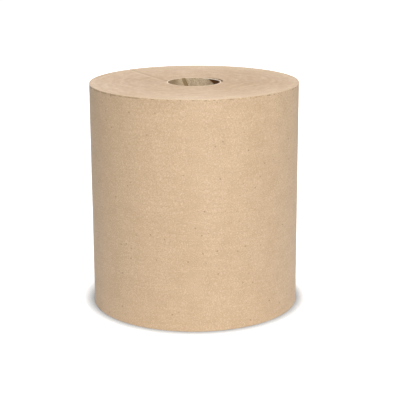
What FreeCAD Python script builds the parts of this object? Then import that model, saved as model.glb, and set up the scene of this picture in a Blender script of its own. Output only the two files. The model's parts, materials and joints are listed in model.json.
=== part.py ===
import FreeCAD, Part
import math
import os
import Sketcher
from FreeCAD import Placement, Rotation, Vector

# Brown paper towel roll, wound hard on a board core and standing on one end.
# The long paper web is one solid: the spiral of its turns shows on both ends, and its loose end
# is a straight step up the back. The core is a spiral-wound board tube glued inside it, with the
# gap of its inner ply running round its bore. A crescent of slack stands open beside the core.
# Frame: origin at the middle of the foot, +Z up along the roll, the front faces -Y, and azimuths
# are counter-clockwise from +X.

# Driving sizes, in millimetres and degrees: name, value and what it measures
SIZES = [
    ("roll_diameter", 185.0, "across the finished winding, at the loose end of the web"),
    ("web_width", 200.0, "width of the paper web, which is the height of the standing roll"),
    ("core_bore", 46.0, "inside diameter of the core"),
    ("core_wall", 1.3, "thickness of the core's glued board plies"),
    ("glue_line", 0.05, "gap between the core and the first turn of the web"),
    ("tail_step", 0.3, "height of the step at the web's loose end"),
    ("tail_azimuth", 125.0, "where the loose end lies"),
    ("rim_break", 0.4, "pressed corner of the outer turn, at both ends"),
    ("turn_pitch", 6.6, "distance from one turn line to the next, on both ends"),
    ("turn_width", 0.9, "width of a turn line"),
    ("turn_depth", 0.4, "depth of a turn line"),
    ("slack_gap", 1.8, "widest opening of the crescent between the core and the web"),
    ("slack_reach", 40.0, "angle from the middle of the crescent to each of its tips"),
    ("slack_azimuth", 32.0, "where the middle of the crescent lies"),
    ("seam_width", 3.6, "gap between the edges of the core's inner ply, measured level"),
    ("seam_depth", 0.5, "thickness of the core's inner ply"),
    ("seam_rise", 250.0, "height that the ply gap climbs in one full turn"),
    ("seam_azimuth", 115.0, "where the ply gap meets the upper end"),
]

# How far a cut runs past the surface that it opens
OVERRUN = 1.0

ROLL_RADIUS = "(sizes.roll_diameter / 2)"
BORE_RADIUS = "(sizes.core_bore / 2)"
CORE_RADIUS = f"({BORE_RADIUS} + sizes.core_wall)"
WEB_BORE_RADIUS = f"({CORE_RADIUS} + sizes.glue_line)"

# The crescent is what a smaller circle, set to one side, takes beyond the bore of the web: the
# two circles cross at the tips and stand slack_gap apart in the middle.
SLACK_RIM = f"({WEB_BORE_RADIUS} + sizes.slack_gap)"
SLACK_OFFSET = (
    f"(sizes.slack_gap * ({SLACK_RIM} + {WEB_BORE_RADIUS})"
    f" / (2 * ({SLACK_RIM} - {WEB_BORE_RADIUS} * cos(sizes.slack_reach))))"
)
SLACK_RADIUS = f"({SLACK_RIM} - {SLACK_OFFSET})"

# The outermost turn line starts one pitch inside the loose end
FIRST_TURN_RADIUS = f"({ROLL_RADIUS} - sizes.turn_pitch)"

# Points of a sketch, as its constraints number them
START, END, CENTRE = 1, 2, 3
ORIGIN = (-1, START)
HORIZONTAL_AXIS = -1


def add_sizes(doc):
    """The sheet of driving sizes, one named cell each."""
    sheet = doc.addObject("Spreadsheet::Sheet", "sizes")
    for row, (name, value, meaning) in enumerate(SIZES, 1):
        sheet.set(f"A{row}", name)
        sheet.set(f"B{row}", str(value))
        sheet.set(f"C{row}", meaning)
        sheet.setAlias(f"B{row}", name)
    doc.recompute()


def add_body(doc, name):
    """An empty body, labelled with the name of its piece."""
    body = doc.addObject("PartDesign::Body", name)
    body.Label = name
    return body


def origin_feature(body, role):
    """One of the body's own origin planes or axes."""
    return next(feature for feature in body.Origin.OriginFeatures if feature.Role == role)


def add_sketch(body, name, role):
    """An empty sketch on one of the body's origin planes."""
    sketch = body.newObject("Sketcher::SketchObject", name)
    sketch.AttachmentSupport = [(origin_feature(body, role), "")]
    sketch.MapMode = "FlatFace"
    return sketch


def number(owner, expression):
    """What an expression of the driving sizes comes to."""
    return float(owner.evalExpression(expression))


def fix(sketch, kind, *where):
    """Adds a constraint that has no size."""
    sketch.addConstraint(Sketcher.Constraint(kind, *where))


def tie(sketch, expression, kind, *where):
    """Adds a constraint whose size follows an expression of the driving sizes."""
    index = sketch.addConstraint(Sketcher.Constraint(kind, *where, number(sketch, expression)))
    sketch.setExpression(f"Constraints[{index}]", expression)


def draw_circle(sketch, radius, offset=None):
    """A circle round the sketch's origin, or set along its horizontal axis by an offset."""
    centre = Vector(number(sketch, offset) if offset else 0, 0, 0)
    circle = sketch.addGeometry(Part.Circle(centre, Vector(0, 0, 1), number(sketch, radius)))
    tie(sketch, radius, "Radius", circle)
    if offset:
        fix(sketch, "PointOnObject", circle, CENTRE, HORIZONTAL_AXIS)
        tie(sketch, offset, "DistanceX", *ORIGIN, circle, CENTRE)
    else:
        fix(sketch, "Coincident", circle, CENTRE, *ORIGIN)


def draw_spiral(sketch, start, pitch, half_turns):
    """A spiral of half circles that starts on the horizontal axis and winds clockwise inwards.

    Each half turn comes half a pitch nearer to the middle, so the centres lie by turns a quarter
    of the pitch to each side of it, and every half circle meets the next without a corner.
    """
    first, step = number(sketch, start), number(sketch, pitch)
    arcs = []
    for k in range(half_turns):
        side = 1 if k % 2 == 0 else -1
        circle = Part.Circle(Vector(side * step / 4, 0, 0), Vector(0, 0, 1), first - (2 * k + 1) * step / 4)
        begin = math.pi if k % 2 == 0 else 0
        arc = sketch.addGeometry(Part.ArcOfCircle(circle, begin, begin + math.pi))
        fix(sketch, "PointOnObject", arc, START, HORIZONTAL_AXIS)
        fix(sketch, "PointOnObject", arc, CENTRE, HORIZONTAL_AXIS)
        tie(sketch, f"{start} - {2 * k + 1} * {pitch} / 4", "Radius", arc)
        if arcs:
            fix(sketch, "Coincident", arcs[-1], START, arc, END)
        arcs.append(arc)
    fix(sketch, "PointOnObject", arcs[0], END, HORIZONTAL_AXIS)
    tie(sketch, start, "DistanceX", *ORIGIN, arcs[0], END)
    return arcs


def draw_polygon(sketch, corners):
    """A closed outline through corners given as pairs of expressions, none of them negative."""
    points = [Vector(number(sketch, across), number(sketch, up), 0) for across, up in corners]
    for point, after in zip(points, points[1:] + points[:1]):
        sketch.addGeometry(Part.LineSegment(point, after))
    for line, (across, up) in enumerate(corners):
        fix(sketch, "Coincident", line, END, (line + 1) % len(corners), START)
        tie(sketch, across, "DistanceX", *ORIGIN, line, START)
        tie(sketch, up, "DistanceY", *ORIGIN, line, START)


def add_pipe_cut(body, name, corners, spine):
    """Takes a section out along a path that starts where the section stands."""
    section = add_sketch(body, f"{name}_section", "XZ_Plane")
    draw_polygon(section, corners)
    body.Document.recompute()
    cut = body.newObject("PartDesign::SubtractivePipe", name)
    cut.Profile = section
    cut.Spine = (spine, [f"Edge{k + 1}" for k in range(len(spine.Shape.Edges))])
    return cut


def add_upper_spiral(body, name, start, pitch, half_turns):
    """A spiral path at the level of the upper end."""
    path = add_sketch(body, name, "XY_Plane")
    path.setExpression("AttachmentOffset.Base.z", "sizes.web_width")
    draw_spiral(path, start, pitch, half_turns)
    return path


def cut_rim_break(body):
    """The pressed corner of the outer turn, all the way round the upper end."""
    path = add_upper_spiral(body, "rim_path", ROLL_RADIUS, "sizes.tail_step", 2)
    reach = f"sizes.rim_break + {OVERRUN}"
    corners = [
        (f"{ROLL_RADIUS} + {OVERRUN}", f"sizes.web_width + {OVERRUN}"),
        (f"{ROLL_RADIUS} - ({reach})", f"sizes.web_width + {OVERRUN}"),
        (f"{ROLL_RADIUS} + {OVERRUN}", f"sizes.web_width - ({reach})"),
    ]
    return add_pipe_cut(body, "rim_break", corners, path)


def cut_turn_line(body):
    """The line between the turns, a V that winds in over the upper end and stops at the slack."""
    room = number(body, f"{FIRST_TURN_RADIUS} - {SLACK_RIM} - sizes.turn_pitch / 2")
    half_turns = int(room // number(body, "sizes.turn_pitch / 2"))
    path = add_upper_spiral(body, "turn_path", FIRST_TURN_RADIUS, "sizes.turn_pitch", half_turns)
    spread = f"sizes.turn_width / 2 * (1 + {OVERRUN} / sizes.turn_depth)"
    corners = [
        (FIRST_TURN_RADIUS, "sizes.web_width - sizes.turn_depth"),
        (f"{FIRST_TURN_RADIUS} + {spread}", f"sizes.web_width + {OVERRUN}"),
        (f"{FIRST_TURN_RADIUS} - {spread}", f"sizes.web_width + {OVERRUN}"),
    ]
    return add_pipe_cut(body, "turn_line", corners, path)


def mirror_to_foot(body, cuts):
    """Repeats the cuts of the upper end on the foot, where the same turns come out."""
    middle = body.newObject("PartDesign::Plane", "mid_height")
    middle.AttachmentSupport = [(origin_feature(body, "XY_Plane"), "")]
    middle.MapMode = "FlatFace"
    middle.setExpression("AttachmentOffset.Base.z", "sizes.web_width / 2")
    body.Document.recompute()
    mirrored = body.newObject("PartDesign::Mirrored", "foot_end")
    mirrored.Originals = cuts
    mirrored.MirrorPlane = (middle, [""])
    body.Tip = mirrored


def build_towel_roll(doc):
    """The wound web. It is drawn with its loose end on +X and then turned to the back."""
    body = add_body(doc, "towel_roll")
    outline = add_sketch(body, "web_outline", "XY_Plane")
    arcs = draw_spiral(outline, ROLL_RADIUS, "sizes.tail_step", 2)
    ends = [outline.getPoint(arcs[0], END), outline.getPoint(arcs[-1], START)]
    step = outline.addGeometry(Part.LineSegment(*ends))
    fix(outline, "Coincident", step, START, arcs[0], END)
    fix(outline, "Coincident", step, END, arcs[-1], START)
    draw_circle(outline, WEB_BORE_RADIUS)
    web = body.newObject("PartDesign::Pad", "web")
    web.Profile = outline
    web.setExpression("Length", "sizes.web_width")
    doc.recompute()

    crescent = add_sketch(body, "slack_outline", "XY_Plane")
    crescent.setExpression("AttachmentOffset.Rotation.Angle", "sizes.slack_azimuth - sizes.tail_azimuth")
    draw_circle(crescent, SLACK_RADIUS, SLACK_OFFSET)
    slack = body.newObject("PartDesign::Pocket", "slack")
    slack.Profile = crescent
    slack.Reversed = True
    slack.setExpression("Length", "sizes.web_width")
    doc.recompute()

    mirror_to_foot(body, [cut_rim_break(body), cut_turn_line(body)])
    body.setExpression("Placement.Rotation.Angle", "sizes.tail_azimuth")
    return body


def build_core_tube(doc):
    """The board tube, with the gap that its inner ply leaves as it spirals up the bore."""
    body = add_body(doc, "core_tube")
    ring = add_sketch(body, "ring", "XY_Plane")
    draw_circle(ring, CORE_RADIUS)
    draw_circle(ring, BORE_RADIUS)
    tube = body.newObject("PartDesign::Pad", "tube")
    tube.Profile = ring
    tube.setExpression("Length", "sizes.web_width")
    doc.recompute()

    section = add_sketch(body, "seam_section", "XY_Plane")
    section.AttachmentOffset = Placement(Vector(0, 0, -OVERRUN), Rotation(Vector(0, 0, 1), 0))
    draw_seam_section(section)
    climb = f"360 * (sizes.web_width + {OVERRUN}) / sizes.seam_rise"
    section.setExpression("AttachmentOffset.Rotation.Angle", f"sizes.seam_azimuth - {climb}")
    doc.recompute()
    seam = body.newObject("PartDesign::SubtractiveHelix", "seam")
    seam.Profile = section
    seam.ReferenceAxis = (origin_feature(body, "Z_Axis"), [""])
    seam.Mode = "pitch-height-angle"
    seam.setExpression("Pitch", "sizes.seam_rise")
    seam.setExpression("Height", f"sizes.web_width + 2 * {OVERRUN}")
    return body


def draw_seam_section(sketch):
    """The ply gap cut level: a rectangle about the horizontal axis, open towards the bore."""
    near, far = f"{BORE_RADIUS} - {OVERRUN}", f"{BORE_RADIUS} + sizes.seam_depth"
    left, right = number(sketch, near), number(sketch, far)
    half = number(sketch, "sizes.seam_width / 2")
    corners = [Vector(left, -half, 0), Vector(right, -half, 0), Vector(right, half, 0), Vector(left, half, 0)]
    for corner, after in zip(corners, corners[1:] + corners[:1]):
        sketch.addGeometry(Part.LineSegment(corner, after))
    for line in range(len(corners)):
        fix(sketch, "Coincident", line, END, (line + 1) % len(corners), START)
    fix(sketch, "Horizontal", 0)
    fix(sketch, "Symmetric", 3, START, 3, END, HORIZONTAL_AXIS)
    fix(sketch, "Symmetric", 1, START, 1, END, HORIZONTAL_AXIS)
    tie(sketch, near, "DistanceX", *ORIGIN, 0, START)
    tie(sketch, far, "DistanceX", *ORIGIN, 0, END)
    tie(sketch, "sizes.seam_width", "DistanceY", 1, START, 1, END)


def check_document(doc, bodies):
    """Stops unless every object was made and every piece is one valid solid."""
    failed = [item.Name for item in doc.Objects if {"Invalid", "Error"} & set(item.State)]
    if failed:
        raise RuntimeError(f"not made: {failed}")
    for body in bodies:
        if body.Shape.isNull() or not body.Shape.isValid() or len(body.Shape.Solids) != 1:
            raise RuntimeError(f"{body.Label} is not one valid solid")


doc = FreeCAD.newDocument("paper_towel_roll")
add_sizes(doc)
pieces = [build_towel_roll(doc), build_core_tube(doc)]
doc.recompute()
check_document(doc, pieces)
os.makedirs("parts", exist_ok=True)
for piece in pieces:
    piece.Shape.exportStep(f"parts/{piece.Label}.step")
    box = piece.Shape.optimalBoundingBox()
    print(piece.Label, len(piece.Shape.Faces), "faces", round(piece.Shape.Volume), "mm3",
          [round(side, 3) for side in (box.XMin, box.XMax, box.YMin, box.YMax, box.ZMin, box.ZMax)])
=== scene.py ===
import json
import logging
import math
from dataclasses import dataclass
from enum import Enum

import bmesh
import bpy
from mathutils import Euler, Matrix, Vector, noise


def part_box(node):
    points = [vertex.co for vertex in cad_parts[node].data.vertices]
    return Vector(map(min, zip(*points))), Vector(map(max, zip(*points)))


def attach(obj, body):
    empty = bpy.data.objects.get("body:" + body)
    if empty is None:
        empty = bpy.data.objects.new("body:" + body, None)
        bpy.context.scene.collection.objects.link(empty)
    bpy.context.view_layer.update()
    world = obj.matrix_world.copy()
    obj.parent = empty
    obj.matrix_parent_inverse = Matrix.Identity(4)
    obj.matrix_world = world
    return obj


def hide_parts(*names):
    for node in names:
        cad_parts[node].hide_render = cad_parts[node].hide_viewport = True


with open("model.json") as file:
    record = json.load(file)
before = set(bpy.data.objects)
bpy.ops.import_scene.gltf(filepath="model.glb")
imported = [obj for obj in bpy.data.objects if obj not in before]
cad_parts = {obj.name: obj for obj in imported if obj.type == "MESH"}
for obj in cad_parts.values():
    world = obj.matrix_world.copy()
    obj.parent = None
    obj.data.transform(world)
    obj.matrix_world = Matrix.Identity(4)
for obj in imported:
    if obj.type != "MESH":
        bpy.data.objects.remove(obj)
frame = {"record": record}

# A roll of natural brown paper towel, wound hard on a spiral board core and standing on one end.
# Lengths are in metres and angles in radians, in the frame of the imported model: the foot stands on
# the ground, +Z is up, and the photographed front faces -Y.

log = logging.getLogger("towel_roll")

MM = 0.001
FULL_TURN = 2 * math.pi
SAME_PLACE = 0.002 * MM

# The outer turn's radius at the loose end, which the frame's box doesn't quite reach, and the glue
# between the core and the first turn
ROLL_RADIUS = 92.5 * MM
GLUE_LINE = 0.05 * MM

Socket = bpy.types.NodeSocket


class WebSurface(Enum):
    """The surfaces of the wound web, which are its material slots."""

    FACE = 0
    SLIT_EDGES = 1


class BoardSurface(Enum):
    """The surfaces of the core, which are its material slots."""

    INNER_PLY = 0
    CUT_END = 1
    BARE_OUTER_PLY = 2


def linear(hex_colour: str) -> tuple[float, float, float, float]:
    """Turns an sRGB hex colour into the linear one that a shader takes.

    Args:
        hex_colour: Six hex digits, such as "DDC2A4".

    Returns:
        Red, green, blue and an alpha of 1.
    """
    channels = [int(hex_colour[k:k + 2], 16) / 255 for k in (0, 2, 4)]
    curve = [c / 12.92 if c <= 0.04045 else ((c + 0.055) / 1.055) ** 2.4 for c in channels]
    return (curve[0], curve[1], curve[2], 1.0)


def polar(radius: float, azimuth: float, height: float) -> Vector:
    """A point from its distance to the roll's axis, its azimuth and its height."""
    return Vector((radius * math.cos(azimuth), radius * math.sin(azimuth), height))


def add_node(tree: bpy.types.NodeTree, kind: str, settings: dict, inputs: dict) -> bpy.types.Node:
    """Adds a node, sets its properties and fills its inputs.

    Args:
        tree: The node tree that gets the node.
        kind: The node's type, such as "ShaderNodeTexNoise".
        settings: Property values by name.
        inputs: For an input's name or number, a plain value or the output that feeds it.

    Returns:
        The new node.
    """
    node = tree.nodes.new(kind)
    for name, value in settings.items():
        setattr(node, name, value)
    for key, value in inputs.items():
        if isinstance(value, Socket):
            tree.links.new(value, node.inputs[key])
        else:
            node.inputs[key].default_value = value
    return node


def new_material(name: str) -> bpy.types.Material:
    """Makes a material with an empty node tree."""
    material = bpy.data.materials.new(name)
    material.use_nodes = True
    material.node_tree.nodes.clear()
    return material


def lay_colour(tree: bpy.types.NodeTree, below: str | Socket, above: str, pattern: Socket,
               start: float, end: float, share: float = 1.0) -> Socket:
    """Lays a colour over another one, as far as a pattern lets it show.

    Args:
        tree: The node tree.
        below: The colour below, in hex digits or from a node.
        above: The colour above, in hex digits.
        pattern: The value that the cover follows.
        start: The value at which the upper colour begins.
        end: The value at which it has its whole share.
        share: How much it covers there.

    Returns:
        The mixed colour.
    """
    cover = add_node(tree, "ShaderNodeMapRange", {}, {
        "Value": pattern, "From Min": start, "From Max": end, "To Min": 0.0, "To Max": share})
    base = linear(below) if isinstance(below, str) else below
    mixed = add_node(tree, "ShaderNodeMix", {"data_type": "RGBA"}, {
        0: cover.outputs[0], 6: base, 7: linear(above)})
    return mixed.outputs[2]


def finish_piece(name: str, shape: bmesh.types.BMesh, materials: list[bpy.types.Material],
                 sharp_angle: float) -> bpy.types.Object:
    """Turns a bmesh into a smooth-shaded object at the origin.

    Args:
        name: The object's name.
        shape: The bmesh, which is freed.
        materials: The materials of its slots, in order.
        sharp_angle: The angle between faces above which their edge stays sharp.

    Returns:
        The new object.
    """
    bmesh.ops.recalc_face_normals(shape, faces=shape.faces[:])
    for face in shape.faces:
        face.smooth = True
    open_edges = sum(1 for edge in shape.edges if not edge.is_manifold)
    mesh = bpy.data.meshes.new(name)
    shape.to_mesh(mesh)
    shape.free()
    mesh.set_sharp_from_angle(angle=sharp_angle)
    for material in materials:
        mesh.materials.append(material)
    piece = bpy.data.objects.new(name, mesh)
    bpy.context.scene.collection.objects.link(piece)
    triangles = sum(len(polygon.vertices) - 2 for polygon in mesh.polygons)
    log.info("%s: %d triangles, %d open edges", name, triangles, open_edges)
    return piece


@dataclass(frozen=True)
class KraftTissue:
    """Unbleached kraft tissue, creped and calendered: a tan sheet with a soft broad gloss.

    It shows in two ways: as the sheet's face on the outer turn, and as thousands of slit edges on
    the roll's ends, which are smoother and a little greyer.

    The pairs say where a mark begins and where it is full; the band of painted light counts inwards
    from the rim.
    The shares say how much the patterns' colours cover. crepe_stretch is how slowly the ripples
    change along the web, and arc_drift how often in a metre an arc's tone changes.
    """

    sheet_colour: str = "D4B693"
    shade_colour: str = "BD9C76"
    pale_colour: str = "EBD5B8"
    fleck_colour: str = "9C7A58"
    slit_colour: str = "CDAF90"
    slit_shade_colour: str = "B99976"
    slit_pale_colour: str = "E6D1B6"
    # Pale for the rim's burr, and for painted highlights on the rim, on the ends and beside the
    # wrinkle
    burr_and_highlight_colour: str = "F0DCC2"
    # Painted shade under the upper rim's lip
    rim_shade_colour: str = "A08263"
    grain_size: float = 0.95 * MM
    cloud_size: float = 14 * MM
    slit_grain_size: float = 4 * MM
    turn_group: float = 4.5 * MM
    crepe_spacing: float = 1.9 * MM
    fleck_spacing: float = 9 * MM
    roughness: float = 0.5
    gloss: float = 0.8
    grain_share: float = 0.52
    slit_grain_share: float = 0.45
    group_share: float = 0.32
    crepe_stretch: float = 0.09
    arc_drift: float = 55.0
    dash_spacing: float = 5 * MM
    dashes_left: tuple[float, float] = (-22 * MM, -55 * MM)
    rim_nick_level: float = 1.2 * MM
    rim_blur: tuple[float, float] = (0.7 * MM, 0.4 * MM)
    # Where the painted light on the ends begins, and the band and side where the outer turns get
    # more of it
    painted_light_front: float = 10 * MM
    painted_light_band: tuple[float, float] = (24 * MM, 2 * MM)
    painted_light_right: tuple[float, float] = (-45 * MM, 10 * MM)
    wrinkle_fade: float = 6 * MM

    def build_face(self, roll: "WoundWeb") -> bpy.types.Material:
        """Makes the material of the outer turn's face.

        Args:
            roll: The winding, for the level of its upper rim.

        Returns:
            The material.
        """
        material = new_material("kraft_tissue_face")
        tree = material.node_tree
        place = add_node(tree, "ShaderNodeTexCoord", {}, {}).outputs["Object"]
        # Fibres clump in clouds about a centimetre across, which break up the tan
        clouds = add_node(tree, "ShaderNodeTexNoise", {}, {
            "Vector": place, "Scale": 1 / self.cloud_size, "Detail": 3.0}).outputs["Fac"]
        # Single fibres give a salt-and-pepper grain at about a millimetre
        grain = add_node(tree, "ShaderNodeTexNoise", {}, {
            "Vector": place, "Scale": 1 / self.grain_size, "Detail": 1.0}).outputs["Fac"]
        # The pull on the web as it was wound leaves long ripples along it, level on the roll
        drawn = add_node(tree, "ShaderNodeMapping", {}, {
            "Vector": place, "Scale": (self.crepe_stretch, self.crepe_stretch, 1.0)})
        crepe = add_node(tree, "ShaderNodeTexNoise", {}, {
            "Vector": drawn.outputs[0], "Scale": 1 / self.crepe_spacing,
            "Detail": 2.0}).outputs["Fac"]
        colour = lay_colour(tree, self.sheet_colour, self.shade_colour, clouds, 0.4, 0.72, 0.35)
        colour = lay_colour(tree, colour, self.shade_colour, grain, 0.5, 0.32, self.grain_share)
        colour = lay_colour(tree, colour, self.pale_colour, grain, 0.52, 0.7, self.grain_share)
        colour = lay_colour(tree, colour, self.shade_colour, crepe, 0.35, 0.65, 0.2)
        colour = self.add_flecks(tree, place, colour)
        colour = self.paint_rim_light_and_shade(tree, place, colour, roll)
        relief = add_node(tree, "ShaderNodeMath", {"operation": "MULTIPLY_ADD"}, {
            0: crepe, 1: 0.8, 2: grain}).outputs[0]
        self.close_surface(tree, colour, relief)
        return material

    def build_slit_edges(self, roll: "WoundWeb") -> bpy.types.Material:
        """Makes the material of the roll's ends, where the turns' slit edges lie side by side.

        Args:
            roll: The winding, for its radius and the place of the wrinkle.

        Returns:
            The material.
        """
        material = new_material("kraft_tissue_slit_edges")
        tree = material.node_tree
        place = add_node(tree, "ShaderNodeTexCoord", {}, {}).outputs["Object"]
        grain = add_node(tree, "ShaderNodeTexNoise", {}, {
            "Vector": place, "Scale": 1 / self.slit_grain_size, "Detail": 3.0}).outputs["Fac"]
        groups = self.group_turns(tree, place)
        # Clumps of slit fibres, a few millimetres across, and the arcs that the turns leave
        colour = lay_colour(tree, self.slit_colour, self.slit_shade_colour, grain,
                            0.5, 0.32, self.slit_grain_share)
        colour = lay_colour(tree, colour, self.slit_pale_colour, grain,
                            0.52, 0.7, self.slit_grain_share)
        colour = lay_colour(tree, colour, self.slit_shade_colour, groups,
                            0.5, 0.3, self.group_share)
        colour = lay_colour(tree, colour, self.slit_pale_colour, groups,
                            0.5, 0.7, self.group_share)
        colour = self.paint_end_light(tree, place, colour, roll)
        colour = self.paint_wrinkle_light_and_shade(tree, place, colour, roll)
        relief = add_node(tree, "ShaderNodeMath", {"operation": "MULTIPLY_ADD"}, {
            0: groups, 1: 1.2, 2: grain}).outputs[0]
        self.close_surface(tree, colour, relief)
        return material

    def add_flecks(self, tree: bpy.types.NodeTree, place: Socket, colour: Socket) -> Socket:
        """Scatters flecks of bark, which unbleached pulp keeps.

        They are one to two millimetres across, some three times as coarse as the real ones.

        Args:
            tree: The node tree.
            place: The coordinates of the pattern.
            colour: The colour under the flecks.

        Returns:
            The colour with the flecks.
        """
        cells = add_node(tree, "ShaderNodeTexVoronoi", {"feature": "F1"}, {
            "Vector": place, "Scale": 1 / self.fleck_spacing, "Randomness": 1.0})
        return lay_colour(tree, colour, self.fleck_colour, cells.outputs["Distance"],
                          0.11, 0.05, 0.7)

    def paint_rim_light_and_shade(self, tree: bpy.types.NodeTree, place: Socket, colour: Socket,
                 roll: "WoundWeb") -> Socket:
        """Paints the rim: a pale line on it, partly a burr and partly a painted highlight, and
        painted shade right below it.

        The painted shade is short dashes, which run together on the roll's left.

        Args:
            tree: The node tree.
            place: The coordinates of the pattern.
            colour: The colour without the marks.
            roll: The winding, for the level of its rim.

        Returns:
            The colour with the marks.
        """
        parts = add_node(tree, "ShaderNodeSeparateXYZ", {}, {0: place})
        below = add_node(tree, "ShaderNodeMath", {"operation": "SUBTRACT"}, {
            0: roll.height, 1: parts.outputs["Z"]}).outputs[0]
        level = add_node(tree, "ShaderNodeMapping", {}, {"Vector": place, "Scale": (1.0, 1.0, 0.0)})
        dashes = add_node(tree, "ShaderNodeTexNoise", {}, {
            "Vector": level.outputs[0], "Scale": 1 / self.dash_spacing,
            "Detail": 1.0}).outputs["Fac"]
        leftwards = add_node(tree, "ShaderNodeMapRange", {}, {
            "Value": parts.outputs["X"], "From Min": self.dashes_left[0],
            "From Max": self.dashes_left[1], "To Min": 0.0, "To Max": 0.12}).outputs[0]
        dashes = add_node(tree, "ShaderNodeMath", {"operation": "ADD"}, {0: dashes, 1: leftwards})
        some = add_node(tree, "ShaderNodeMapRange", {}, {
            "Value": dashes.outputs[0], "From Min": 0.52, "From Max": 0.6, "To Max": 1.0})
        off = add_node(tree, "ShaderNodeMath", {"operation": "SUBTRACT"}, {
            0: below, 1: self.rim_nick_level})
        off = add_node(tree, "ShaderNodeMath", {"operation": "ABSOLUTE"}, {0: off.outputs[0]})
        band = add_node(tree, "ShaderNodeMapRange", {}, {
            "Value": off.outputs[0], "From Min": self.rim_blur[0], "From Max": self.rim_blur[1],
            "To Max": 1.0})
        rim_shade_mask = add_node(tree, "ShaderNodeMath", {"operation": "MULTIPLY"}, {
            0: some.outputs[0], 1: band.outputs[0]}).outputs[0]
        # Painted shade in short dashes under the rim's lip
        colour = lay_colour(tree, colour, self.rim_shade_colour, rim_shade_mask, 0.0, 1.0, 0.62)
        # A pale line at the rim: partly a burr, partly a painted highlight where the edge catches
        # the light
        return lay_colour(tree, colour, self.burr_and_highlight_colour, below, *self.rim_blur, 0.2)

    def paint_end_light(self, tree: bpy.types.NodeTree, place: Socket, colour: Socket,
                roll: "WoundWeb") -> Socket:
        """Paints light on the ends: paler towards the front and back, and on the outermost turns on
        the right.

        Args:
            tree: The node tree.
            place: The coordinates of the pattern.
            colour: The colour without it.
            roll: The winding, for its radius.

        Returns:
            The colour with it, which shows on the roll's front and right.
        """
        parts = add_node(tree, "ShaderNodeSeparateXYZ", {}, {0: place})
        from_middle = add_node(tree, "ShaderNodeMath", {"operation": "ABSOLUTE"}, {
            0: parts.outputs["Y"]})
        # Painted light, paler towards the front and the back
        colour = lay_colour(tree, colour, self.burr_and_highlight_colour, from_middle.outputs[0],
                            self.painted_light_front, roll.radius, 0.22)
        flat = add_node(tree, "ShaderNodeMapping", {}, {"Vector": place, "Scale": (1.0, 1.0, 0.0)})
        reach = add_node(tree, "ShaderNodeVectorMath", {"operation": "LENGTH"}, {
            0: flat.outputs[0]})
        outermost = add_node(tree, "ShaderNodeMapRange", {}, {
            "Value": reach.outputs["Value"], "From Min": roll.radius - self.painted_light_band[0],
            "From Max": roll.radius - self.painted_light_band[1]})
        rightwards = add_node(tree, "ShaderNodeMapRange", {}, {
            "Value": parts.outputs["X"], "From Min": self.painted_light_right[0],
            "From Max": self.painted_light_right[1]})
        outer_turn_light = add_node(tree, "ShaderNodeMath", {"operation": "MULTIPLY"}, {
            0: outermost.outputs[0], 1: rightwards.outputs[0]})
        # Painted light on the outermost turns on the right
        return lay_colour(tree, colour, self.burr_and_highlight_colour, outer_turn_light.outputs[0], 0.0, 1.0, 0.25)

    def group_turns(self, tree: bpy.types.NodeTree, place: Socket) -> Socket:
        """Draws arcs of uneven tone, as groups of turns that were wound a little looser.

        The real turns are a tenth of a millimetre apart, too fine to show, so the arcs are some
        forty times as coarse.

        Args:
            tree: The node tree.
            place: The coordinates of the pattern.

        Returns:
            The pattern, about 0.5.
        """
        flat = add_node(tree, "ShaderNodeMapping", {}, {"Vector": place, "Scale": (1.0, 1.0, 0.0)})
        reach = add_node(tree, "ShaderNodeVectorMath", {"operation": "LENGTH"}, {
            0: flat.outputs[0]})
        ring = add_node(tree, "ShaderNodeMath", {"operation": "MULTIPLY"}, {
            0: reach.outputs["Value"], 1: 1 / self.turn_group})
        drift = add_node(tree, "ShaderNodeVectorMath", {"operation": "SCALE"}, {
            0: place, "Scale": self.arc_drift})
        parts = add_node(tree, "ShaderNodeSeparateXYZ", {}, {0: drift.outputs[0]})
        mixed = add_node(tree, "ShaderNodeCombineXYZ", {}, {
            0: ring.outputs[0], 1: parts.outputs["X"], 2: parts.outputs["Y"]})
        return add_node(tree, "ShaderNodeTexNoise", {}, {
            "Vector": mixed.outputs[0], "Scale": 1.0, "Detail": 2.0}).outputs["Fac"]

    def paint_wrinkle_light_and_shade(self, tree: bpy.types.NodeTree, place: Socket, colour: Socket,
                     roll: "WoundWeb") -> Socket:
        """Paints the light and shade of a wound-in wrinkle, which the mesh doesn't have: a faint
        straight line over the turns.

        Args:
            tree: The node tree.
            place: The coordinates of the pattern.
            colour: The colour without the wrinkle.
            roll: The winding, which holds the ends of the line.

        Returns:
            The colour with the line, a painted highlight on its left and painted shade on its right.
        """
        along = (roll.wrinkle_end - roll.wrinkle_start).normalized()
        across = Vector((along.y, -along.x, 0.0))
        away = add_node(tree, "ShaderNodeVectorMath", {"operation": "SUBTRACT"}, {
            0: place, 1: roll.wrinkle_start}).outputs[0]
        side = add_node(tree, "ShaderNodeVectorMath", {"operation": "DOT_PRODUCT"}, {
            0: away, 1: across})
        reach = add_node(tree, "ShaderNodeVectorMath", {"operation": "DOT_PRODUCT"}, {
            0: away, 1: along})
        within = add_node(tree, "ShaderNodeMapRange", {}, {
            "Value": reach.outputs["Value"], "From Max": self.wrinkle_fade}).outputs[0]
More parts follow.
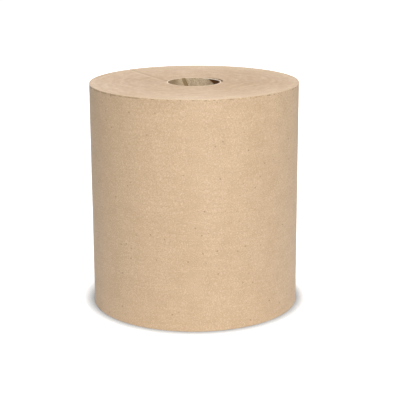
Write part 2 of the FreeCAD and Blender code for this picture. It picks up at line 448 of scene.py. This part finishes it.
        # Painted shade and painted highlight on the wrinkle's two sides
        wrinkle_shade = (self.slit_shade_colour, 2.2 * MM, 3.2 * MM, 0.5)
        wrinkle_highlight = (self.burr_and_highlight_colour, -1.0 * MM, 1.8 * MM, 0.25)
        for line_colour, middle, half, share in (wrinkle_shade, wrinkle_highlight):
            off = add_node(tree, "ShaderNodeMath", {"operation": "SUBTRACT"}, {
                0: side.outputs["Value"], 1: middle})
            off = add_node(tree, "ShaderNodeMath", {"operation": "ABSOLUTE"}, {0: off.outputs[0]})
            line = add_node(tree, "ShaderNodeMapRange", {}, {
                "Value": off.outputs[0], "From Min": half, "From Max": 0.3 * half})
            line = add_node(tree, "ShaderNodeMath", {"operation": "MULTIPLY"}, {
                0: line.outputs[0], 1: within})
            colour = lay_colour(tree, colour, line_colour, line.outputs[0], 0.0, 1.0, share)
        return colour

    def close_surface(self, tree: bpy.types.NodeTree, colour: Socket, relief: Socket) -> None:
        """Ends the tree with the calendered sheet's surface, matt with a soft broad gloss.

        Args:
            tree: The node tree.
            colour: The colour of the surface.
            relief: The pattern of its relief.
        """
        bump = add_node(tree, "ShaderNodeBump", {}, {
            "Strength": 0.3, "Distance": 0.1 * MM, "Height": relief})
        shader = add_node(tree, "ShaderNodeBsdfPrincipled", {}, {
            "Base Color": colour, "Roughness": self.roughness, "IOR": 1.45,
            "Specular IOR Level": self.gloss, "Normal": bump.outputs[0]})
        add_node(tree, "ShaderNodeOutputMaterial", {}, {"Surface": shader.outputs[0]})


@dataclass(frozen=True)
class Chipboard:
    """Grey-brown board of recycled pulp, wound from two glued plies.

    The plies' faces are dull and clouded, their cut ends are pale and frayed, and where the inner
    ply leaves a gap the outer one is painted darker, as shade in the gap. The inner and bare plies'
    colours are paler than the board itself, as painted light for the dim bore. The pairs say where
    a mark begins and where it is full.
    """

    # The inner ply's colours are paler than the board itself: painted light for the dim bore
    wall_colour: str = "DDC7A7"
    wall_shade_colour: str = "AE9776"
    wall_pale_colour: str = "F0E3CC"
    end_colour: str = "F0DCC3"
    end_shade_colour: str = "D9C0A1"
    end_pale_colour: str = "FBEFDD"
    # The bare ply in the gap: darker than the inner ply as painted shade in the gap, yet paler than
    # the board itself as painted light for the dim bore
    bare_colour: str = "B49B75"
    bare_shade_colour: str = "927651"
    # Painted shadow inside the bore, on its right under the upper end
    bore_shadow_colour: str = "5C3304"
    # The frayed lip's colour, with a painted highlight where it catches the light
    lip_and_highlight_colour: str = "FFF3E2"
    grain_size: float = 1.0 * MM
    cloud_size: float = 7 * MM
    roughness: float = 0.85
    # Where the painted shade on the wall's left begins and where it is full
    left_shade_span: tuple[float, float] = (-11 * MM, -17 * MM)
    # How soft the painted shadow's edge is, and where it fades out towards the front
    bore_shadow_blur: float = 0.8 * MM
    bore_shadow_back: tuple[float, float] = (-14 * MM, -6 * MM)
    lip_level: tuple[float, float] = (0.8 * MM, 0.5 * MM)
    lip_right: tuple[float, float] = (6 * MM, 13 * MM)

    def build(self, surface: BoardSurface, core: "SpiralCore") -> bpy.types.Material:
        """Makes the material of one of the board's surfaces.

        Args:
            surface: Which surface it is for.
            core: The core, for the place of the painted shadow.

        Returns:
            The material.
        """
        material = new_material(f"chipboard_{surface.name.lower()}")
        tree = material.node_tree
        place = add_node(tree, "ShaderNodeTexCoord", {}, {}).outputs["Object"]
        middle, shade, pale = {
            BoardSurface.INNER_PLY: (self.wall_colour, self.wall_shade_colour,
                                     self.wall_pale_colour),
            BoardSurface.CUT_END: (self.end_colour, self.end_shade_colour, self.end_pale_colour),
            BoardSurface.BARE_OUTER_PLY: (self.bare_colour, self.bare_shade_colour,
                                          self.wall_shade_colour),
        }[surface]
        # Recycled pulp lies in clouds of a few millimetres, with pale single fibres over them
        clouds = add_node(tree, "ShaderNodeTexNoise", {}, {
            "Vector": place, "Scale": 1 / self.cloud_size, "Detail": 3.0}).outputs["Fac"]
        grain = add_node(tree, "ShaderNodeTexNoise", {}, {
            "Vector": place, "Scale": 1 / self.grain_size, "Detail": 2.0}).outputs["Fac"]
        colour = lay_colour(tree, middle, shade, clouds, 0.4, 0.7, 0.5)
        colour = lay_colour(tree, colour, shade, grain, 0.48, 0.34, 0.5)
        colour = lay_colour(tree, colour, pale, grain, 0.52, 0.72, 0.7)
        if surface is BoardSurface.INNER_PLY:
            colour = self.paint_bore_shadow(tree, place, colour, core)
        bump = add_node(tree, "ShaderNodeBump", {}, {
            "Strength": 0.4, "Distance": 0.1 * MM, "Height": grain})
        shader = add_node(tree, "ShaderNodeBsdfPrincipled", {}, {
            "Base Color": colour, "Roughness": self.roughness, "IOR": 1.45,
            "Specular IOR Level": 0.3, "Normal": bump.outputs[0]})
        add_node(tree, "ShaderNodeOutputMaterial", {}, {"Surface": shader.outputs[0]})
        return material

    def paint_bore_shadow(self, tree: bpy.types.NodeTree, place: Socket, colour: Socket,
                  core: "SpiralCore") -> Socket:
        """Paints a shadow as colour: a dark wedge under the upper end, beside the slack.

        It also paints a little shade on the wall's left.

        Args:
            tree: The node tree.
            place: The coordinates of the pattern.
            colour: The colour without the painted shadow.
            core: The core, which holds the place of the painted shadow.

        Returns:
            The colour with the painted shadow.
        """
        parts = add_node(tree, "ShaderNodeSeparateXYZ", {}, {0: place})
        # Painted shade on the wall's left, in the bare ply's darker tone
        colour = lay_colour(tree, colour, self.bare_shade_colour, parts.outputs["X"],
                            *self.left_shade_span, 0.5)
        depth = add_node(tree, "ShaderNodeMath", {"operation": "SUBTRACT"}, {
            0: core.height - core.recess, 1: parts.outputs["Z"]}).outputs[0]
        reach = add_node(tree, "ShaderNodeMath", {"operation": "MULTIPLY_ADD"}, {
            0: parts.outputs["X"], 1: core.bore_shadow_slope, 2: -core.bore_shadow_start * core.bore_shadow_slope})
        inside = add_node(tree, "ShaderNodeMath", {"operation": "SUBTRACT"}, {
            0: reach.outputs[0], 1: depth})
        wedge = add_node(tree, "ShaderNodeMapRange", {}, {
            "Value": inside.outputs[0], "From Min": -self.bore_shadow_blur, "From Max": self.bore_shadow_blur})
        back = add_node(tree, "ShaderNodeMapRange", {}, {
            "Value": parts.outputs["Y"], "From Min": self.bore_shadow_back[0],
            "From Max": self.bore_shadow_back[1]})
        bore_shadow_mask = add_node(tree, "ShaderNodeMath", {"operation": "MULTIPLY"}, {
            0: wedge.outputs[0], 1: back.outputs[0]})
        # Painted shadow: a dark wedge on the wall's right, under the upper end
        colour = lay_colour(tree, colour, self.bore_shadow_colour, bore_shadow_mask.outputs[0], 0.0, 1.0, 0.95)
        # A pale lip beside the slack, over the painted shadow: partly the knife's frayed edge,
        # partly a painted highlight where it catches the light
        lip = add_node(tree, "ShaderNodeMapRange", {}, {
            "Value": depth, "From Min": self.lip_level[0], "From Max": self.lip_level[1]})
        beside = add_node(tree, "ShaderNodeMapRange", {}, {
            "Value": parts.outputs["X"], "From Min": self.lip_right[0],
            "From Max": self.lip_right[1]})
        pale = add_node(tree, "ShaderNodeMath", {"operation": "MULTIPLY"}, {
            0: lip.outputs[0], 1: beside.outputs[0]})
        return lay_colour(tree, colour, self.lip_and_highlight_colour, pale.outputs[0], 0.0, 1.0)


@dataclass
class WoundWeb:
    """The paper web, wound in one length: its turns, its outer face and its loose end.

    line_reach is a line's half width, counted in lines, and tail_spread the width of the step at
    the loose end, counted in spokes. The waves and nicks are noise cells in a metre.
    """

    radius: float
    height: float
    bore_radius: float
    tissue: KraftTissue
    tail_step: float = 0.3 * MM
    tail_azimuth: float = math.radians(125)
    tail_spread: float = 0.02
    rim_break: float = 0.4 * MM
    turn_pitch: float = 6.6 * MM
    lines_per_turn: int = 5
    line_reach: float = 0.09
    line_depth: float = 0.1 * MM
    deep_line_depth: float = 0.2 * MM
    uneven_ends: float = 0.15 * MM
    slow_end_waves: float = 160.0
    quick_end_waves: float = 680.0
    dish: float = 0.7 * MM
    uneven_wall: float = 0.15 * MM
    wall_waves_round: float = 18.0
    wall_waves_up: float = 30.0
    slack_gap: float = 2.3 * MM
    slack_reach: float = math.radians(40)
    slack_azimuth: float = math.radians(32)
    rim_nick_level: float = 1.3 * MM
    bruise_depth: float = 0.3 * MM
    bruise_nicks: float = 130.0
    wall_ring_spacing: float = 8 * MM
    spokes: int = 240
    wrinkle_start: Vector = Vector((-0.0235, 0.001, 0.0))
    wrinkle_end: Vector = Vector((-0.0586, 0.063, 0.0))

    @property
    def line_spacing(self) -> float:
        """The distance from one line on the ends to the next."""
        return self.turn_pitch / self.lines_per_turn

    def build(self) -> bpy.types.Object:
        """Makes the wound web as one closed mesh.

        Returns:
            The piece.
        """
        shape = bmesh.new()
        self.spin_turns(shape)
        self.copy_to_foot(shape)
        self.close_wall(shape)
        self.close_bore(shape)
        bmesh.ops.remove_doubles(shape, verts=shape.verts[:], dist=SAME_PLACE)
        self.roughen_wall(shape)
        materials = [self.tissue.build_face(self), self.tissue.build_slit_edges(self)]
        return finish_piece("wound_web", shape, materials, math.radians(28))

    def outline_radius(self, turn: float) -> float:
        """How far the outer face lies from the axis.

        Args:
            turn: How far round from the loose end, from 0 to 1.

        Returns:
            The radius, which grows by the step at the loose end over one turn.
        """
        return self.radius - self.tail_step * (1 - turn)

    def hole_radius(self, azimuth: float) -> float:
        """How far the edge of the web's hole lies from the axis, with the crescent of slack.

        Args:
            azimuth: The azimuth, counter-clockwise from +X.

        Returns:
            The radius of the hole there.
        """
        rim = self.bore_radius + self.slack_gap
        span = rim - self.bore_radius * math.cos(self.slack_reach)
        offset = self.slack_gap * (rim + self.bore_radius) / (2 * span)
        off = azimuth - self.slack_azimuth
        inside = (rim - offset) ** 2 - (offset * math.sin(off)) ** 2
        return max(self.bore_radius, offset * math.cos(off) + math.sqrt(max(0.0, inside)))

    def end_drop(self, radius: float) -> float:
        """How far a turn stands back from the end's plane, since no roll is wound quite even.

        Args:
            radius: How far the turn lies from the axis.

        Returns:
            The distance, from 0 to about uneven_ends.
        """
        slow = noise.noise(Vector((radius * self.slow_end_waves, 3.7, 0.0)))
        quick = noise.noise(Vector((radius * self.quick_end_waves, 9.1, 0.0)))
        return self.uneven_ends * min(1.0, max(0.0, 0.45 + 0.55 * slow + 0.25 * quick))

    def spin_turns(self, shape: bmesh.types.BMesh) -> None:
        """Spins the section of the turns once round, then draws it in by the pitch.

        Each line then runs on where the one a pitch further in began, so the lines wind inwards
        over the whole end. What would lie past the rim or the hole is pressed against it.

        Args:
            shape: The bmesh that gets the upper end.
        """
        outermost = self.radius + self.turn_pitch
        section = [shape.verts.new((outermost - self.line_spacing * place, 0.0, 0.0))
                   for place in self.section_places()]
        edges = [shape.edges.new(pair) for pair in zip(section, section[1:])]
        bmesh.ops.spin(shape, geom=section + edges, cent=(0, 0, 0), axis=(0, 0, 1),
                       dvec=(0, 0, self.height), angle=FULL_TURN, steps=self.spokes,
                       use_merge=False, use_normal_flip=False, use_duplicate=False)
        for vert in shape.verts:
            spoke = int(round(vert.co.z / self.height))
            place = (outermost - vert.co.xy.length) / self.line_spacing
            vert.co = self.turn_point(place, spoke)
        bmesh.ops.remove_doubles(shape, verts=shape.verts[:], dist=SAME_PLACE)
        for face in shape.faces:
            face.material_index = WebSurface.SLIT_EDGES.value

    def section_places(self) -> list[float]:
        """The places of the section's corners, counted in lines from one pitch outside the rim.

        Returns:
            For every line its bottom, and the edges of the land between it and the next.
        """
        lines = int((self.radius - self.bore_radius) / self.line_spacing) + 2 * self.lines_per_turn
        offsets = (0.0, self.line_reach, 1 - self.line_reach)
        return [line + offset for line in range(lines) for offset in offsets]

    def turn_point(self, place: float, spoke: int) -> Vector:
        """Where a corner of the turns' section comes to lie on the upper end.

        Args:
            place: The corner's place in the section, in lines.
            spoke: How many spokes round from the loose end.

        Returns:
            The point.
        """
        turn = spoke / self.spokes
        if spoke == self.spokes - 1:
            turn = 1 - self.tail_spread / self.spokes
        azimuth = self.tail_azimuth + FULL_TURN * turn
        radius = self.radius + self.turn_pitch * (1 - turn) - self.line_spacing * place
        outer = self.outline_radius(turn % 1.0) - self.rim_break
        inner = self.hole_radius((azimuth + math.pi) % FULL_TURN - math.pi)
        if radius >= outer:
            return polar(outer, azimuth, self.height)
        if radius <= inner:
            return polar(inner, azimuth, self.height - self.dish)
        drop = self.end_drop(radius) + self.dish * (outer - radius) / (outer - self.bore_radius)
        if abs(place - round(place)) < self.line_reach / 2:
            is_deep = round(place) % self.lines_per_turn == 0
            drop += self.deep_line_depth if is_deep else self.line_depth
        return polar(radius, azimuth, self.height - drop)

    def copy_to_foot(self, shape: bmesh.types.BMesh) -> None:
        """Repeats the upper end on the foot, where the edges of the same turns come out.

        Args:
            shape: The bmesh that holds the upper end, and gets the lower one.
        """
        copied = bmesh.ops.duplicate(shape, geom=shape.verts[:] + shape.edges[:] + shape.faces[:])
        for item in copied["geom"]:
            if isinstance(item, bmesh.types.BMVert):
                item.co.z = self.height - item.co.z

    def boundary(self, shape: bmesh.types.BMesh, outer: bool) -> list[bmesh.types.BMEdge]:
        """Finds the upper end's open edges.

        Args:
            shape: The bmesh.
            outer: Whether to find those of the rim or those of the hole.

        Returns:
            The edges.
        """
        split = (self.radius + self.bore_radius) / 2
        return [edge for edge in shape.edges
                if edge.is_boundary and edge.verts[0].co.z > self.height / 2
                and (edge.verts[0].co.xy.length > split) == outer]

    def extrude_ring(self, shape: bmesh.types.BMesh, edges: list[bmesh.types.BMEdge],
                     outward: float, level: float) -> list[bmesh.types.BMEdge]:
        """Extrudes a ring of edges to a new level, as a strip of the sheet's face.

        Args:
            shape: The bmesh.
            edges: The ring.
            outward: How far the new ring lies outside the old one.
            level: The height of the new ring.

        Returns:
            The new ring.
        """
        made = bmesh.ops.extrude_edge_only(shape, edges=edges)["geom"]
        for item in made:
            if isinstance(item, bmesh.types.BMVert):
                reach = item.co.xy.length
                item.co.xy *= (reach + outward) / reach
                item.co.z = level
            elif isinstance(item, bmesh.types.BMFace):
                item.material_index = WebSurface.FACE.value
        return [item for item in made if isinstance(item, bmesh.types.BMEdge) and item.is_boundary]

    def close_wall(self, shape: bmesh.types.BMesh) -> None:
        """Draws the outer face down from the upper rim to the foot's, with both edges rounded.

        Args:
            shape: The bmesh that holds both ends.
        """
        ring = self.boundary(shape, outer=True)
        quarter = [math.radians(angle) for angle in (30, 60, 90)]
        reach = 0.0
        for angle in quarter:
            new_reach = self.rim_break * math.sin(angle)
            level = self.height - self.rim_break * (1 - math.cos(angle))
            ring = self.extrude_ring(shape, ring, new_reach - reach, level)
            reach = new_reach
        plain_start = 2.5 * MM
        plain = self.height - 2 * plain_start
        count = int(round(plain / self.wall_ring_spacing))
        levels = [self.height - below for below in (0.8 * MM, self.rim_nick_level, 1.9 * MM)]
        levels += [self.height - plain_start - k * plain / count for k in range(count + 1)]
        for level in levels + [self.rim_break]:
            ring = self.extrude_ring(shape, ring, 0.0, level)
        for angle in reversed([0.0] + quarter[:-1]):
            new_reach = self.rim_break * math.sin(angle)
            ring = self.extrude_ring(shape, ring, new_reach - reach,
                                     self.rim_break * (1 - math.cos(angle)))
            reach = new_reach

    def close_bore(self, shape: bmesh.types.BMesh) -> None:
        """Draws the inside of the first turn down from the upper hole to the foot's.

        Args:
            shape: The bmesh that holds both ends.
        """
        ring = self.boundary(shape, outer=False)
        steps = 8
        for step in range(steps):
            share = (step + 1) / steps
            level = (self.height - self.dish) * (1 - share) + self.dish * share
            ring = self.extrude_ring(shape, ring, 0.0, level)

    def roughen_wall(self, shape: bmesh.types.BMesh) -> None:
        """Lets the outer face wander a little inwards, and bruises it under the upper rim.

        Args:
            shape: The bmesh of the whole web.
        """
        rim_zone = 2 * MM
        for vert in shape.verts:
            reach = vert.co.xy.length
            if reach < self.radius - self.tail_step - 0.1 * MM:
                continue
            below = self.height - vert.co.z
            if rim_zone < below < self.height - rim_zone:
                wave = noise.noise(Vector((vert.co.x * self.wall_waves_round,
                                           vert.co.y * self.wall_waves_round,
                                           vert.co.z * self.wall_waves_up)))
                vert.co.xy *= 1 - self.uneven_wall * (0.5 + 0.5 * wave) / reach
            elif abs(below - self.rim_nick_level) < 0.1 * MM:
                nick = noise.noise(Vector((vert.co.x * self.bruise_nicks,
                                           vert.co.y * self.bruise_nicks, 5.5)))
                vert.co.xy *= 1 - self.bruise_depth * max(0.0, nick) / reach


@dataclass
class SpiralCore:
    """The board tube: two glued plies wound as a spiral, with the inner ply's gap showing.

    seam_bevel is the angle over which the gap's side rises, and fray_nicks are noise cells in a
    metre. The painted shadow inside the bore begins a given distance to the right of the axis, and
    slopes down from there.
    """

    radius: float
    bore_radius: float
    height: float
    board: Chipboard
    seam_width: float = 3.6 * MM
    seam_depth: float = 0.5 * MM
    seam_rise: float = 330 * MM
    seam_azimuth: float = math.radians(115)
    seam_bevel: float = 0.002
    edge_break: float = 0.15 * MM
    fray: float = 0.2 * MM
    fray_nicks: float = 400.0
    recess: float = 0.7 * MM
    # Where the painted shadow inside the bore begins, and how fast it deepens to the right
    bore_shadow_start: float = 12.2 * MM
    bore_shadow_slope: float = 0.85
    spokes: int = 180
    rings: int = 40

    def build(self) -> bpy.types.Object:
        """Makes the tube as one closed mesh.

        Returns:
            The piece.
        """
        shape = bmesh.new()
        section = [shape.verts.new(point) for point in self.section_points()]
        edges = [shape.edges.new(pair) for pair in zip(section, section[1:] + section[:1])]
        bmesh.ops.spin(shape, geom=section + edges, cent=(0, 0, 0), axis=(0, 0, 1), dvec=(0, 0, 0),
                       angle=FULL_TURN, steps=self.spokes, use_merge=True, use_normal_flip=False,
                       use_duplicate=False)
        self.assign_surfaces(shape)
        self.twist(shape)
        materials = [self.board.build(surface, self) for surface in BoardSurface]
        return finish_piece("spiral_core", shape, materials, math.radians(35))

    def section_points(self) -> list[Vector]:
        """The tube's section: two walls in rings, and ends with broken edges.

        Returns:
            The corners of the closed section, in the plane of X and Z.
        """
        small = self.edge_break
        levels = [small + k * (self.height - 2 * small) / self.rings for k in range(self.rings + 1)]
        inner = [Vector((self.bore_radius, 0, level)) for level in levels]
        outer = [Vector((self.radius, 0, level)) for level in reversed(levels)]
        outer_ply = 0.25 * self.bore_radius + 0.75 * self.radius
        across = (self.bore_radius + small, outer_ply, self.radius - small)
        top = [Vector((reach, 0, self.height)) for reach in across]
        foot = [Vector((reach, 0, 0)) for reach in reversed(across)]
        return inner + top + outer + foot

    def seam_spokes(self) -> int:
        """How many spokes to each side of its middle the ply gap reaches."""
        return int(self.seam_width / 2 / self.bore_radius / (FULL_TURN / self.spokes)) + 1

    def assign_surfaces(self, shape: bmesh.types.BMesh) -> None:
        """Gives each face of the straight tube the slot of its surface.

        Args:
            shape: The bmesh of the straight tube.
        """
        seam = self.seam_spokes() * FULL_TURN / self.spokes
        for face in shape.faces:
            middle = face.calc_center_median()
            if min(middle.z, self.height - middle.z) < self.edge_break:
                face.material_index = BoardSurface.CUT_END.value
            elif (middle.xy.length < self.bore_radius + self.edge_break / 4
                  and abs(math.atan2(middle.y, middle.x)) < seam):
                face.material_index = BoardSurface.BARE_OUTER_PLY.value

    def twist(self, shape: bmesh.types.BMesh) -> None:
        """Turns the tube's lines into helices along the plies, and sinks the inner ply's gap.

        Args:
            shape: The bmesh of the straight tube.
        """
        half = self.seam_width / 2 / self.bore_radius
        step = FULL_TURN / self.spokes
        last = self.seam_spokes()
        for vert in shape.verts:
            azimuth, reach, level = math.atan2(vert.co.y, vert.co.x), vert.co.xy.length, vert.co.z
            spoke = abs(int(round(azimuth / step)))
            if spoke == last:
                azimuth = math.copysign(half + self.seam_bevel, azimuth)
            elif spoke == last - 1:
                azimuth = math.copysign(half, azimuth)
            if spoke < last and reach < self.bore_radius + 2 * self.edge_break:
                reach += self.seam_depth
            lead = self.seam_azimuth + FULL_TURN * (level - self.height) / self.seam_rise
            drawn_in = self.recess + level * (1 - 2 * self.recess / self.height)
            vert.co = polar(reach, azimuth + lead, drawn_in)
            if self.height - level < self.edge_break / 2:
                frayed = noise.noise(Vector((vert.co.x * self.fray_nicks,
                                             vert.co.y * self.fray_nicks, 1.7)))
                vert.co.z -= self.fray * max(0.0, frayed)


@dataclass
class Studio:
    """The white ground, the soft lamps and the camera.

    The camera's distances are counted in radii of the roll. contact_open is how open the ground is
    to the sky under the roll and beyond it, and contact_shade how bright it looks at those two.
    """

    roll_height: float
    roll_radius: float
    focal_pixels: float = 1212.9
    image_pixels: float = 400.0
    axis_pixel: float = 194.45
    distance_in_radii: float = 11.486
    camera_above_in_radii: float = 1.867
    camera_pitch: float = 0.259
    camera_roll: float = -0.0045
    sensor_width: float = 36.0
    ground_size: float = 12.0
    ground_tone: float = 0.85
    ground_glow: float = 0.9
    contact_reach: float = 22 * MM
    contact_open: tuple[float, float] = (0.5, 0.98)
    contact_shade: tuple[float, float] = (0.2, 0.86)
    sky_strength: float = 0.245
    lamp_distance: float = 2.0
    lamp_size: float = 0.8

    def build(self) -> None:
        """Sets the whole studio up."""
        self.place_camera()
        self.lay_ground()
        self.light_room()
        self.hang_lamp("key_lamp", azimuth=15, elevation=65, watts=24.4)
        self.hang_lamp("fill_lamp", azimuth=-10, elevation=65, watts=9.7)
        self.hang_lamp("front_lamp", azimuth=15, elevation=12, watts=8.5)
        self.hang_lamp("rim_lamp", azimuth=130, elevation=15, watts=3.5)
        self.hang_lamp("back_lamp", azimuth=-160, elevation=12, watts=7.5)
        bpy.context.scene.view_settings.view_transform = "Standard"

    def place_camera(self) -> None:
        """Puts the camera where the outline in the photograph says that it stood."""
        data = bpy.data.cameras.new("camera")
        data.sensor_width = self.sensor_width
        data.lens = self.focal_pixels * self.sensor_width / self.image_pixels
        data.clip_end = 50.0
        camera = bpy.data.objects.new("camera", data)
        bpy.context.scene.collection.objects.link(camera)
        yaw = math.atan((self.image_pixels / 2 - self.axis_pixel) / self.focal_pixels)
        level = self.roll_height + self.camera_above_in_radii * self.roll_radius
        camera.location = (0.0, -self.distance_in_radii * self.roll_radius, level)
        aim = Euler((math.pi / 2 - self.camera_pitch, 0.0, -yaw)).to_matrix()
        tilt = Euler((0.0, 0.0, self.camera_roll)).to_matrix()
        camera.rotation_euler = (aim @ tilt).to_euler()
        bpy.context.scene.camera = camera

    def lay_ground(self) -> None:
        """Lays the white ground, which for the camera alone glows, and darkens around the foot."""
        shape = bmesh.new()
        bmesh.ops.create_grid(shape, x_segments=2, y_segments=2, size=self.ground_size / 2)
        mesh = bpy.data.meshes.new("ground")
        shape.to_mesh(mesh)
        shape.free()
        ground = bpy.data.objects.new("ground", mesh)
        bpy.context.scene.collection.objects.link(ground)
        material = new_material("white_paper_sweep")
        tree = material.node_tree
        nearby = add_node(tree, "ShaderNodeAmbientOcclusion", {"samples": 16}, {
            "Distance": self.contact_reach})
        shade = add_node(tree, "ShaderNodeMapRange", {}, {
            "Value": nearby.outputs["AO"], "From Min": self.contact_open[0],
            "From Max": self.contact_open[1], "To Min": self.contact_shade[0],
            "To Max": self.contact_shade[1]}).outputs[0]
        path = add_node(tree, "ShaderNodeLightPath", {}, {})
        tone = add_node(tree, "ShaderNodeMapRange", {}, {
            "Value": path.outputs["Is Camera Ray"], "To Min": self.ground_tone,
            "To Max": shade}).outputs[0]
        matt = add_node(tree, "ShaderNodeBsdfDiffuse", {}, {"Color": tone})
        seen = add_node(tree, "ShaderNodeMath", {"operation": "MULTIPLY"}, {
            0: path.outputs["Is Camera Ray"], 1: self.ground_glow})
        glow = add_node(tree, "ShaderNodeEmission", {}, {
            "Color": shade, "Strength": seen.outputs[0]})
        both = add_node(tree, "ShaderNodeAddShader", {}, {0: matt.outputs[0], 1: glow.outputs[0]})
        add_node(tree, "ShaderNodeOutputMaterial", {}, {"Surface": both.outputs[0]})
        mesh.materials.append(material)

    def light_room(self) -> None:
        """Fills the room with even white light, and shows the camera plain white."""
        world = bpy.data.worlds.new("white_room")
        world.use_nodes = True
        tree = world.node_tree
        tree.nodes.clear()
        path = add_node(tree, "ShaderNodeLightPath", {}, {})
        strength = add_node(tree, "ShaderNodeMapRange", {}, {
            "Value": path.outputs["Is Camera Ray"], "To Min": self.sky_strength, "To Max": 1.0})
        light = add_node(tree, "ShaderNodeBackground", {}, {
            "Color": (1.0, 1.0, 1.0, 1.0), "Strength": strength.outputs[0]})
        add_node(tree, "ShaderNodeOutputWorld", {}, {"Surface": light.outputs[0]})
        bpy.context.scene.world = world

    def hang_lamp(self, name: str, azimuth: float, elevation: float, watts: float) -> None:
        """Hangs a square soft lamp that points at the middle of the roll.

        Args:
            name: The lamp's name.
            azimuth: Where it hangs, in degrees to the right of the camera.
            elevation: How high it hangs, in degrees.
            watts: Its power.
        """
        data = bpy.data.lights.new(name, "AREA")
        data.shape = "SQUARE"
        data.size = self.lamp_size
        data.energy = watts
        lamp = bpy.data.objects.new(name, data)
        middle = Vector((0.0, 0.0, self.roll_height / 2))
        around, above = math.radians(azimuth - 90), math.radians(elevation)
        reach, rise = self.lamp_distance * math.cos(above), self.lamp_distance * math.sin(above)
        lamp.location = middle + polar(reach, around, rise)
        lamp.rotation_euler = (middle - lamp.location).to_track_quat("-Z", "Y").to_euler()
        bpy.context.scene.collection.objects.link(lamp)


def bore_size() -> float:
    """The radius of the core's bore in metres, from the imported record."""
    mounts = {mount["name"]: mount for mount in frame["record"]["mounts"]}
    return mounts["core_bore"]["dims"]["r_mm"] * MM


def put_in_place(piece: bpy.types.Object, node: str) -> None:
    """Puts a finished piece in its CAD node's place.

    Args:
        piece: The piece.
        node: The CAD node that it stands for.
    """
    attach(piece, "root")
    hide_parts(node)


def main() -> None:
    """Builds the winding, the core and the studio."""
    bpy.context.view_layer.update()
    low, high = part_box("towel_roll")
    core_low, core_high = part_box("core_tube")
    height = high[2] - low[2]
    core_radius = (core_high[0] - core_low[0]) / 2
    web = WoundWeb(radius=ROLL_RADIUS, height=height, bore_radius=core_radius + GLUE_LINE,
                   tissue=KraftTissue())
    put_in_place(web.build(), "towel_roll")
    core = SpiralCore(radius=core_radius, bore_radius=bore_size(), height=height, board=Chipboard())
    put_in_place(core.build(), "core_tube")
    Studio(roll_height=height, roll_radius=(high[0] - low[0]) / 2).build()


if __name__ == "__main__":
    logging.basicConfig(level=logging.INFO, format="%(message)s")
    main()
